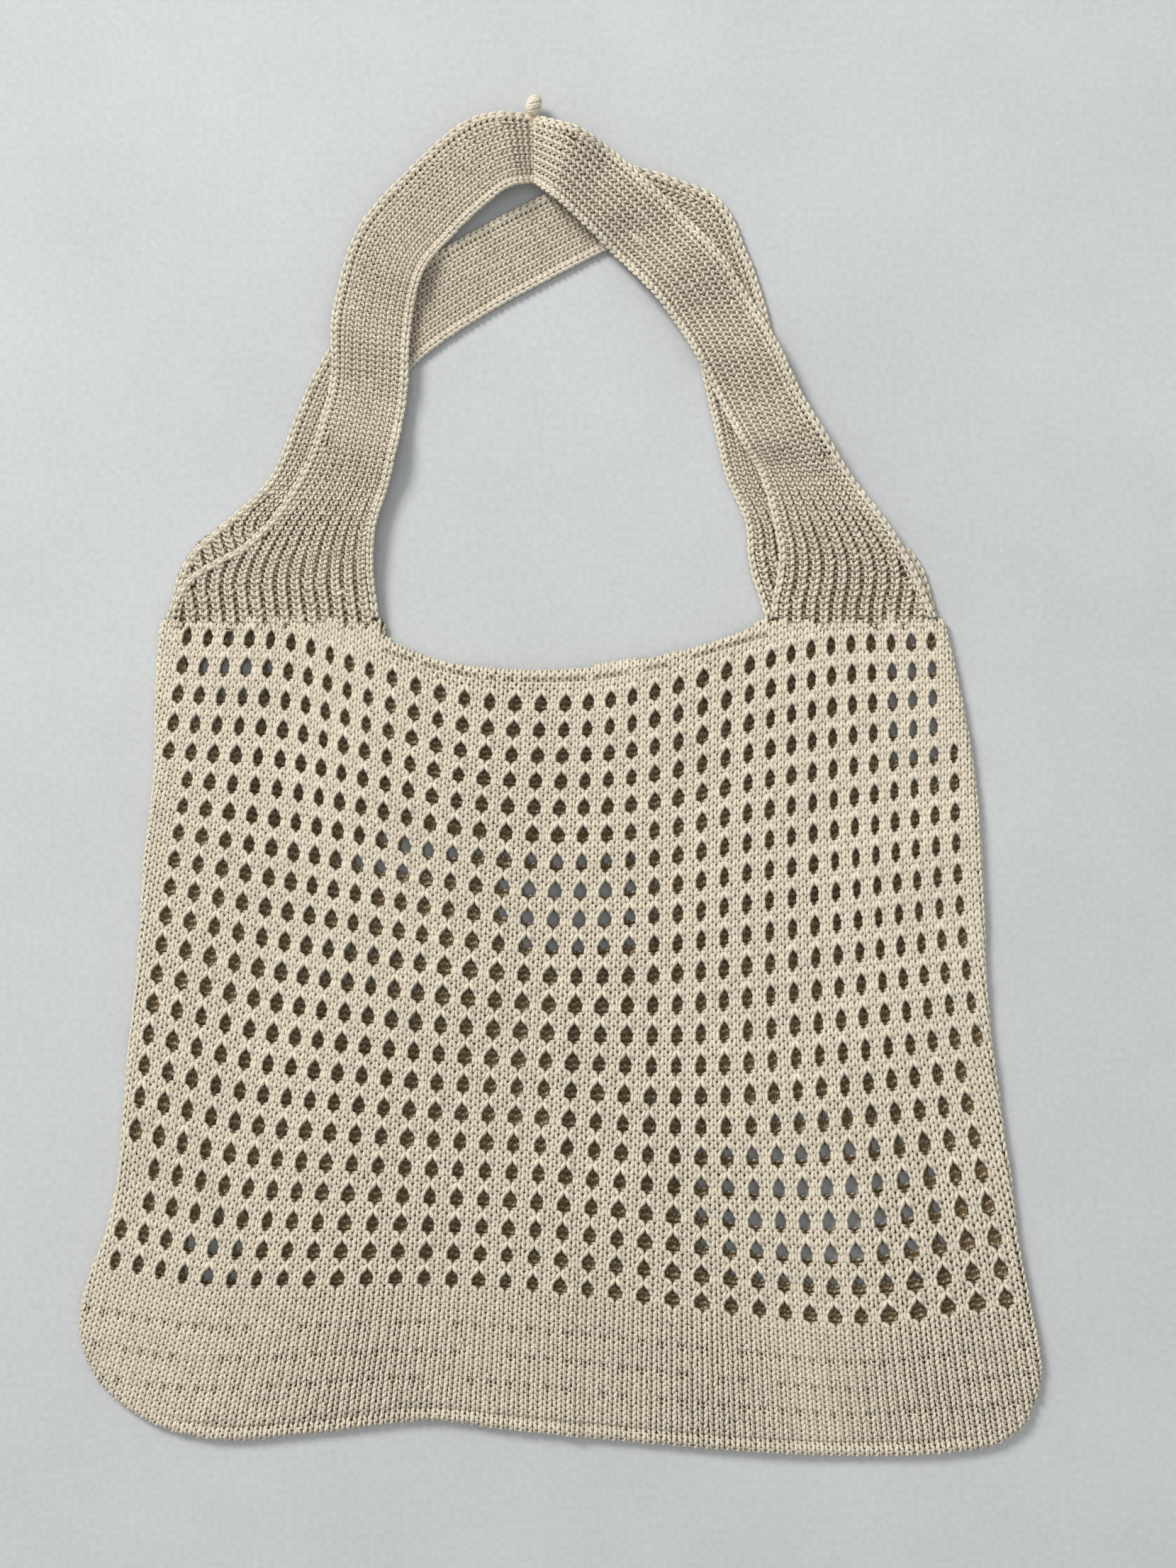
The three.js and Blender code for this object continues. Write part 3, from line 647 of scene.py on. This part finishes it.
def knit_face(layer):
    """All loops of a face, as tubes for its mesh in strips, its base band, neck band and sewn edges."""
    is_back = layer == "back"
    sign = -1 if is_back else 1
    rng = np.random.default_rng(11 if is_back else 7)
    wales, courses = np.arange(-66, 70).astype(float), np.arange(-3, 121).astype(float)
    wale, course = np.meshgrid(wales, courses)
    part = eyelet_part(layer, wale, course)
    x, y = flat_of(layer, wale, course + 0.5)
    if is_back:
        shapes = light_loop
    else:
        shapes = face_loops[part]
        # One course of the neck band is turned, loop by loop, to show its bars.
        turned = (rng.random(part.shape) < 0.75) & (course == NECK_COURSE) & (x > -75) & (x < 87)
        shapes = np.where(turned[..., None, None], shapes * [1, 1, -0.9, 1.15], shapes)
    samples = shapes.shape[-2]
    across, up, out, full, tone = courses_of(wales, courses, shapes, rng, sizes().unevenness)
    # In three rows of the base band most second loops are tucked: thin and low, they leave small dark gaps.
    tucked = np.isin(course, TUCKED) & (wale % 2 == 0) & (rng.random(part.shape) < 0.8)
    tucked = np.repeat(tucked & (not is_back), samples, axis=1)
    full, out = np.where(tucked, full * 0.66, full), np.where(tucked, out - 0.22, out)
    points, normals = on_face(layer, across, up, sign * out)
    normals = normals * sign
    cells = (part != LEFT_OUT) & within(layer, x, y)
    names = np.where(course < FIRST_EYELETS - 2, "base_knit", "mesh_knit_1")
    strips = 3 if is_back else 6
    edges = np.linspace(FIRST_EYELETS - 2, 116, strips + 1)
    for n in range(1, strips):
        names = np.where(course >= np.round(edges[n]), f"mesh_knit_{n + 1}", names)
    names = np.where((x > MOUTH[0]) & (x < MOUTH[1]) & (y > mouth_at(x) - 8), "neck_knit", names)
    if not is_back:
        edge = inset(x, y) < SEAM
        names = np.where(edge & (y - base_at(x) < 8), "base_edge", names)
        side = np.where(x < 0, "left_side_edge", "right_side_edge")
        names = np.where(edge & (names != "base_edge"), side, names)
    size = (0.80, 0.66) if is_back else (sizes().yarn * HALF, sizes().yarn * HALF * 0.76)
    made = {}
    for name in np.unique(names[cells]):
        mask = np.repeat(cells & (names == name), samples, axis=1)
        rows = mask.any(1)
        # A loop's last point joins the next loop's first, so a kept run reaches one point further.
        reach = mask[rows] | np.pad(mask[rows][:, :-1], ((0, 0), (1, 0)))
        made[name] = tube(
            points[rows], normals[rows], reach, size, YARN_SIDES, tone[rows], sign * out[rows], full[rows])
    return made


def face_core(layer, name):
    """A thin cloth with the same eyelets, deep in the knit of a face, coloured with painted shade to darken
    the gaps between its loops.
    """
    wales, courses = np.meshgrid(np.arange(-66, 70) - 0.5, np.arange(-3, 121).astype(float))
    points, normals = on_face(layer, wales, courses, np.full_like(wales, -0.42))
    x, y = flat_of(layer, wales[:-1, :-1] + 0.5, courses[:-1, :-1] + 0.5)
    keep = eyelet_part(layer, wales[:-1, :-1] + 0.5, courses[:-1, :-1]) != LEFT_OUT
    keep &= within(layer, x, y) & (inset(x, y) > 2.2)
    if layer == "front":
        keep &= y - base_at(x) > 9.5
    return slab_object(name, points, normals, keep, 0.4, inner_shade_cotton(layer))


def build_face(layer):
    """A face's pieces of yarn and its inner cloth."""
    slots = {"base_knit": "plain_knit", "neck_knit": "bound_edge"}
    nodes = {"base_knit": f"{layer}_base_band", "neck_knit": f"{layer}_neck_band", "base_edge": "base_seam",
             "left_side_edge": "left_side_seam", "right_side_edge": "right_side_seam"}
    for name, part in knit_face(layer).items():
        slot = "seam_yarn" if name.endswith("edge") else slots.get(name, "mesh_knit")
        piece = yarn_object(f"{layer}_{name}", [part], cotton_of(slot))
        settle(piece, "bag", slot, *([nodes[name]] if name in nodes else []))
    core = settle(face_core(layer, f"{layer}_face_shade_cloth"), "bag", "mesh_knit", f"{layer}_mesh_panel")


# ---- Shoulders and straps ----
crossing = LAYER + 0.5                          # underside of a front strap where it lies on a back one
fold_under = LAYER + FOLD_GAP - OFF_TABLE       # underside of the front shoulders
# Each shoulder's outer and inner edge, from its base up to the fold line.
shoulders = {
    "front_left": ([[-167, 62], [-164, 74], [-158, 83], [-147, 90], [-135.6, 96], [-126.5, 104]],
                   [[-76.4, 62], [-77.6, 74], [-78.7, 83], [-79, 90], [-79, 96], [-78.3, 104]]),
    "front_right": ([[161, 62], [156, 74], [151, 85], [145.6, 95], [140.2, 104]],
                    [[88.6, 62], [89.3, 74], [91.5, 85], [92, 95], [90.5, 104]]),
    "back_left": ([[-167, 62], [-165, 74], [-161.5, 86], [-156.5, 95], [-146.5, 104]],
                  [[-76.4, 62], [-80, 74], [-86, 86], [-91.5, 95], [-98, 104]]),
    "back_right": ([[161, 62], [157, 77], [152.6, 90], [146, 98], [136, 104]],
                   [[88.6, 62], [85, 74], [81, 86], [79.3, 95], [79, 104]]),
}
# Each strap's stations: its middle, the turn in degrees of the line across it, its width and its underside.
straps = {
    "front_left": [
        [-90.5, 127.5, -4.5, 37.5, 3.6], [-81.3, 162.7, -9, 33, crossing], [-78.8, 198, -7, 33, crossing],
        [-71.8, 221.6, -24, 33, crossing], [-48.9, 247.8, -50.7, 33, crossing + 0.4],
        [-29.5, 261.8, -70.7, 33, 4.2]],
    "front_right": [
        [103, 128.1, 182, 38, 3.6], [90, 149.7, 206, 33, crossing], [73.6, 181.9, 211, 33, crossing],
        [54.8, 210.5, 226.5, 33, crossing], [29.5, 236.2, 238, 33, crossing + 0.3], [10, 253, 248, 33, 4.2]],
    "back_left": [
        [-105.4, 126.5, -2, 35, 0], [-96.8, 148, -11, 33, 0], [-90, 163, -22, 33, 0], [-74, 186, -45, 33, 0],
        [-45, 207.5, -61, 33, 0], [-10, 227, -61, 33, 0]],
    "back_right": [
        [90, 128, 181, 40, 0], [79.5, 160, 194, 33, 0], [73.3, 186.2, 197.5, 33, 0],
        [65.2, 212.8, 210, 33, 0], [54.3, 234.2, 230, 33, 0], [41.5, 238.5, 254, 33, 0]],
}
# The seams' outer and inner ends, and their underside.
seams = {
    "front": ([-11.6, 280.4], [-11.2, 250.9], 5.2),
    "back": ([21.8, 260.5], [29.2, 228.5], 0.0),
}


class Ribbon:
    """A shoulder and its strap as one ruled surface of the distance from the inner edge and the course."""

    def __init__(self, name):
        layer = name.split("_")[0]
        outer, inner = (list(map(list, edge)) for edge in shoulders[name])
        under = [0.0 if layer == "back" else fold_under] * len(outer)
        for x, y, angle, width, z in straps[name]:
            turn = math.radians(angle)
            reach = np.array([math.cos(turn), math.sin(turn)]) * width / 2
            outer.append([x - reach[0], y - reach[1]])
            inner.append([x + reach[0], y + reach[1]])
            under.append(z)
        ends = seams[layer]
        outer.append(ends[0])
        inner.append(ends[1])
        under.append(ends[2])
        self.layer, self.name = layer, name
        self.outer, self.inner, self.under = np.array(outer, float), np.array(inner, float), np.array(under)
        middle = (self.outer + self.inner) / 2
        self.knots = np.r_[0, np.cumsum(np.hypot(*np.diff(middle, axis=0).T))]
        self.length = self.knots[-1]
        self.courses = int((self.length - LOOSER[0]) / COURSE)

    def along(self, course):
        """How far up a course is: the shoulder's courses are a little higher than the strap's."""
        reach = [COURSE * c + LOOSER[0] * (1 - np.exp(-c / LOOSER[1])) for c in (course, self.courses)]
        return reach[0] * self.length / reach[1]

    def edges(self, course):
        """The outer edge, the inner edge and the underside at a course."""
        at = self.along(np.asarray(course, float).ravel())
        values = [through(self.knots, column, at) for column in (*self.outer.T, *self.inner.T, self.under)]
        return [v.reshape(np.shape(course)) for v in values]

    def width(self, course):
        """The distance between the edges at a course."""
        ox, oy, ix, iy, _ = self.edges(course)
        return np.hypot(ox - ix, oy - iy)

    def surface(self, across, course):
        """A point that far from the inner edge, on the straight line to the outer edge, at the height that the
        strap's waves, its rise to the seam and its rounded edges give it."""
        ox, oy, ix, iy, under = self.edges(course)
        wide = np.maximum(np.hypot(ox - ix, oy - iy), 1e-6)
        share = across / wide
        x, y = ix + (ox - ix) * share, iy + (oy - iy) * share
        height = under + LAYER / 2 + OFF_TABLE
        if self.layer == "front":
            height = np.where(y < FOLD_Y, face_height(x, y, "front"), height)
        at = self.along(course)
        left = self.length - at
        edge = np.minimum(across, wide - across)
        if self.layer == "front":
            # Waves 41 mm long run slantwise over the strap, with a shorter swell on them.
            is_left = self.name.endswith("left")
            slant = -10 if is_left else 16
            long_wave = np.sin((at + slant * (share - 0.5)) * 2 * math.pi / 41 + 0.6)
            swell = 1 + 0.6 * long_wave + 0.4 * np.sin((at - slant * share) / 11)
            height = height + 2.0 * smooth((at - 50) / 40) * smooth(left / 26) * swell
            # Towards the joining seam the strap rises to a ridge and dives into the valley.
            dive = np.clip(1 - left / (10 if is_left else 14), 0, 1) ** 1.1 * (0.75 + 0.25 * share)
            height = height + 4.6 * smooth((34 - left) / 20) - 7.8 * dive
        elif self.name == "back_right":
            # Near its seam this strap curls up along both edges.
            height = height + 2.6 * smooth((30 - left) / 22) * smooth((edge - 12) / -10)
        # The edge chain stands a little proud and rounds off outwards.
        height = height - 0.7 * smooth((0.7 - edge) / 1.4) + 0.45 * np.exp(-((edge - 1.6) / 1.1) ** 2)
        return np.stack([x, y, height], -1)

    def columns(self, course):
        """The middle of each column of loops at each course, its pitch, and whether it is there. The rib's
        columns stand wide at the shoulder's base and close on the strap, and stop where they meet the plain
        column that follows the outer edge."""
        pitch = WALE + RIB_SPREAD * (1 - smooth((self.along(course) - 12) / 72))
        wide = self.width(course)[:, None]
        inner = 0.70 * WALE + (np.arange(MOST_COLUMNS)[None] + 0.5) * pitch[:, None]
        border = wide - 1.2 * WALE
        there = np.concatenate([inner < wide - 1.52 * WALE, np.ones_like(border, bool)], 1)
        pitches = np.concatenate([np.repeat(pitch[:, None], MOST_COLUMNS, 1), np.full_like(border, WALE)], 1)
        return np.concatenate([inner, border], 1), pitches, there


rib_loop = loop(
    [-0.5, 0.0, -0.62, 0.75], [-0.07, 0.0, -0.15, 0.7], [-0.24, 0.48, 0.50, 1.12], [-0.42, 0.98, -0.02, 0.75],
    head=[0, 1.26, -0.62, 0.75], lean=0.04)


def turned_up(points, normals, lift, sign):
    """Moves points that were lifted along downward normals to the upper side, whichever way round the strap's
    edges run, and turns the normals with them."""
    turned = np.sign(normals[..., 2:3])
    points = points + normals * (turned - 1) * lift[..., None]
    return points, normals * turned * sign


def knit_ribbon(name):
    """Both layers of a one by one rib: columns of V that face up, and between them columns that face down. The
    first and last columns are longer loops, an edge like a chain."""
    ribbon = Ribbon(name)
    rng = np.random.default_rng(len(name) * 3 + 1)
    courses = np.arange(0, ribbon.courses).astype(float)
    middle, pitch, there = ribbon.columns(courses)
    size = (sizes().strap_yarn * HALF, sizes().strap_yarn * HALF * 0.78)
    parts = []
    for sign, one, base, rise in ((1, rib_loop, 0.30, 0.9), (-1, light_loop, 0.42, 0.8)):
        off, up, out, full, tone = courses_of(np.zeros(middle.shape[1]), courses, one, rng)
        off = off.reshape(*middle.shape, -1)
        # On the wide shoulder the columns keep nearly their own width, and the valleys between them open.
        wide = (WALE + 0.15 * (pitch - WALE))[..., None]
        spread = np.where(np.abs(off) < 0.45, wide * off, pitch[..., None] * off)
        shift = 0 if sign > 0 else 0.5
        across = ((middle + shift * pitch)[..., None] + spread).reshape(len(courses), -1)
        lift = sign * (base + out * rise)
        points, normals = on_surface(ribbon.surface, across, up, lift)
        points, normals = turned_up(points, normals, lift, sign)
        seen = there if sign > 0 else there & (np.arange(middle.shape[1]) < middle.shape[1] - 1)
        keep = np.repeat(seen, one.shape[0], axis=1) & (points[..., 1] > yoke_line(points[..., 0]) - 1)
        reach = keep | np.pad(keep[:, :-1], ((0, 0), (1, 0)))
        if sign > 0:
            full = full * (1 + 0.55 * np.repeat(pitch / WALE - 1, one.shape[0], axis=1))
        # Painted shade: the rib's yarn is passed a lower value, so it is a little darker.
        parts.append(tube(points, normals, reach, size, YARN_SIDES, tone, sign * out - 0.12, full))
    for outer in (False, True):
        count = int(ribbon.length / CHAIN)
        steps = np.arange(count).astype(float)
        off, up, out, full, tone = courses_of(np.zeros(1), steps, rib_loop, rng)
        course = up * ribbon.courses / count
        wide = ribbon.width(course)
        middle_of = wide - 0.42 * WALE if outer else np.full_like(wide, 0.42 * WALE)
        across = middle_of + off * WALE * 0.66
        points, normals = on_surface(ribbon.surface, across, course, 0.35 + out)
        points, normals = turned_up(points, normals, 0.35 + out, 1)
        keep = points[..., 1] > CHAIN_BASE
        thicker = (size[0] * 1.25, size[1] * 1.2)
        # Painted shade: the chain is passed a higher value, so it is a little lighter.
        parts.append(tube(points, normals, keep, thicker, YARN_SIDES, tone, out + 0.2, full))
    return ribbon, parts


def ribbon_core(ribbon, name):
    """A thin closed cloth between the two layers of loops of a shoulder and strap, coloured with painted shade
    to darken the gaps between them.
    """
    share, courses = np.meshgrid(np.linspace(0.03, 0.97, 25), np.arange(0, ribbon.courses * 2 + 1) / 2)
    across = share * ribbon.width(courses)
    points, normals = on_surface(ribbon.surface, across, courses, np.zeros_like(across))
    normals = normals * np.sign(normals[..., 2:3])
    keep = np.ones((points.shape[0] - 1, points.shape[1] - 1), bool)
    return slab_object(name, points - normals * 0.4, normals, keep, 0.4, inner_shade_cotton("front"))


def build_handle(layer):
    """The two straps of a handle with their shoulders: each has its knit and its inner cloth."""
    for side in ("left", "right"):
        name = f"{layer}_{side}"
        ribbon, parts = knit_ribbon(name)
        knit = yarn_object(f"{name}_rib_knit", parts, cotton_of("strap_knit"))
        core = ribbon_core(ribbon, f"{name}_strap_shade_cloth")
        for piece in (knit, core):
            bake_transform(piece)
        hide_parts(f"{name}_strap", f"{name}_yoke")
        course = np.arange(ribbon.courses + 1.0)
        area = float((ribbon.width(course[1:] - 0.5) * np.diff(ribbon.along(course))).sum()) * 1e-6


def seam_stitches(layer):
    """The joining seam: yarn wound 13 times along the valley where two straps meet, and at the front one's
    outer end a small knot, yarn wound 15 times round an egg."""
    outer, inner, under = seams[layer]
    low = under - 2.2 if layer == "front" else 0.2
    p, q = np.array([*inner, low + LAYER / 2]), np.array([*outer, low + LAYER / 2])
    way = (q - p) / np.linalg.norm(q - p)
    flat, up = np.cross(way, [0, 0, 1.0]), np.array([0, 0, 1.0])
    share = np.linspace(0, 1, 240)[None, :, None]
    turn = share * 2 * math.pi * 13
    out = flat * np.cos(turn) + up * np.sin(turn)
    made = [(p + (q - p) * share + out * [1.0, 1.0, 0.55], out)]
    if layer == "front":
        around = np.linspace(0, 1, 340)[None, :, None]
        lean = np.cos(around * math.pi * 3.2 + 0.4)
        ring = np.sqrt(np.maximum(1 - lean**2, 0.02))
        spin = around * 2 * math.pi * 15
        sideways = np.array([1.0, 0.2, 0]) * np.cos(spin) + np.array([0, -0.2, 1.0]) * np.sin(spin)
        egg = np.array([0.1, 1.0, 0.25]) * lean * 3.6 + ring * 3.0 * sideways
        made.append((np.array([-11.4, 283.6, 6.2]) + egg, egg / np.linalg.norm(egg, axis=-1, keepdims=True)))
    parts = []
    for line, normal in made:
        even = np.zeros(line.shape[:2])
        parts.append(tube(line, normal, even == 0, (0.78, 0.66), 6, even, even + 0.3, even + 1))
    return parts


# ---- Operators ----
class SetStage(bpy.types.Operator):
    """The camera straight above the bag, soft daylight from the upper left, and a pale stone table."""

    bl_idname = "bag.set_stage"
    bl_label = "Stage"

    def execute(self, context):
        scene = context.scene
        camera = bpy.data.objects.new("camera", bpy.data.cameras.new("camera"))
        # From this high up, 0.6603 m of the table's length is in view.
        lens, sensor, seen = 50, 36, 0.6603
        camera.data.lens, camera.data.sensor_width = lens, sensor
        camera.location = (0.0116, -0.0028, 0.008 + seen * lens / sensor)
        camera.data.clip_start, camera.data.clip_end = 0.01, 20
        scene.collection.objects.link(camera)
        scene.camera = camera

        material = bpy.data.materials.new("Pale stone, honed")
        material.use_nodes = True
        tree = material.node_tree
        shader = tree.nodes["Principled BSDF"]
        where = node(tree, "ShaderNodeTexCoord").outputs["Object"]
        # Patches are about 110 mm wide. Grit is about 2.4 mm, coarser than real, so that it shows.
        patch = node(tree, "ShaderNodeTexNoise", Vector=where, Scale=9.0, Detail=6.0, Roughness=0.65)
        grit = node(tree, "ShaderNodeTexNoise", Vector=where, Scale=420.0, Detail=2.0)
        add = {"operation": "MULTIPLY_ADD"}
        both = node(tree, "ShaderNodeMath", add, i0=grit.outputs["Fac"], i1=0.9, i2=patch.outputs["Fac"])
        level = node(tree, "ShaderNodeMapRange", i0=both.outputs[0], i1=0.6, i2=1.3)
        pale = scene.bag_colours.table
        dark = [part * 0.84 for part in pale]
        stone = node(
            tree, "ShaderNodeMix", {"data_type": "RGBA"}, i0=level.outputs[0], i6=(*dark, 1), i7=(*pale, 1))
        tree.links.new(stone.outputs[2], shader.inputs["Base Color"])
        shader.inputs["Roughness"].default_value = 0.85
        mesh = bpy.data.meshes.new("table")
        span = 6.0
        corners = [(-span, -span, 0), (span, -span, 0), (span, span, 0), (-span, span, 0)]
        mesh.from_pydata(corners, [], [(0, 1, 2, 3)])
        mesh.materials.append(material)
        table = bpy.data.objects.new("table", mesh)
        scene.collection.objects.link(table)

        for name, spot, size, power in (
            ("window", (-1.6, 1.9, 2.0), 1.0, 84.0),
            ("ceiling", (0.2, 0.0, 1.9), 1.8, 7.0),
        ):
            lamp = bpy.data.lights.new(name, "AREA")
            lamp.size, lamp.energy = size, power
            placed = bpy.data.objects.new(name, lamp)
            placed.location = spot
            # Tilted from straight down, then turned, so that it looks at the middle of the bag.
            x, y, z = spot
            placed.rotation_euler = (math.atan2(math.hypot(x, y), z), 0, math.atan2(x, -y))
            scene.collection.objects.link(placed)
        world = bpy.data.worlds.new("room")
        world.use_nodes = True
        sky = world.node_tree.nodes["Background"].inputs
        sky["Color"].default_value = (0.93, 0.97, 1.0, 1)
        sky["Strength"].default_value = 0.42
        scene.world = world
        scene.view_settings.view_transform = "Standard"
        return {"FINISHED"}


class KnitBackFace(bpy.types.Operator):
    """The face that lies on the table, its purl side up."""

    bl_idname = "bag.knit_back_face"
    bl_label = "Back face"

    def execute(self, context):
        build_face("back")
        return {"FINISHED"}


class KnitFrontFace(bpy.types.Operator):
    """The face that shows, with its eyelets, base band and neck band."""

    bl_idname = "bag.knit_front_face"
    bl_label = "Front face"

    def execute(self, context):
        build_face("front")
        return {"FINISHED"}


class KnitHandles(bpy.types.Operator):
    """The four ribbed shoulders with their straps, and the seams that join them."""

    bl_idname = "bag.knit_handles"
    bl_label = "Handles"

    def execute(self, context):
        for layer in ("back", "front"):
            build_handle(layer)
            piece = yarn_object(f"{layer}_joining_seam", seam_stitches(layer), cotton_of("seam_yarn"))
            settle(piece, f"{layer}_handle", "seam_yarn", f"{layer}_handle_seam")
        return {"FINISHED"}


class BagPanel(bpy.types.Panel):
    """Lists the pieces in the order they are made."""

    bl_idname = "VIEW3D_PT_bag"
    bl_label = "Mesh bag"
    bl_space_type = "VIEW_3D"
    bl_region_type = "UI"
    bl_category = "Bag"

    def draw(self, context):
        for group in (context.scene.bag_sizes, context.scene.bag_colours):
            for name in group.__annotations__:
                self.layout.prop(group, name)
        for operator in operators:
            self.layout.operator(operator.bl_idname)


operators = (SetStage, KnitBackFace, KnitFrontFace, KnitHandles)
classes = (BagSizes, BagColours, *operators, BagPanel)


def register():
    for one in classes:
        bpy.utils.register_class(one)
    bpy.types.Scene.bag_sizes = bpy.props.PointerProperty(type=BagSizes)
    bpy.types.Scene.bag_colours = bpy.props.PointerProperty(type=BagColours)


def unregister():
    del bpy.types.Scene.bag_sizes, bpy.types.Scene.bag_colours
    for one in reversed(classes):
        bpy.utils.unregister_class(one)


def main():
    register()
    bpy.ops.bag.set_stage()
    bpy.ops.bag.knit_back_face()
    bpy.ops.bag.knit_front_face()
    bpy.ops.bag.knit_handles()


if __name__ == "__main__":
    main()
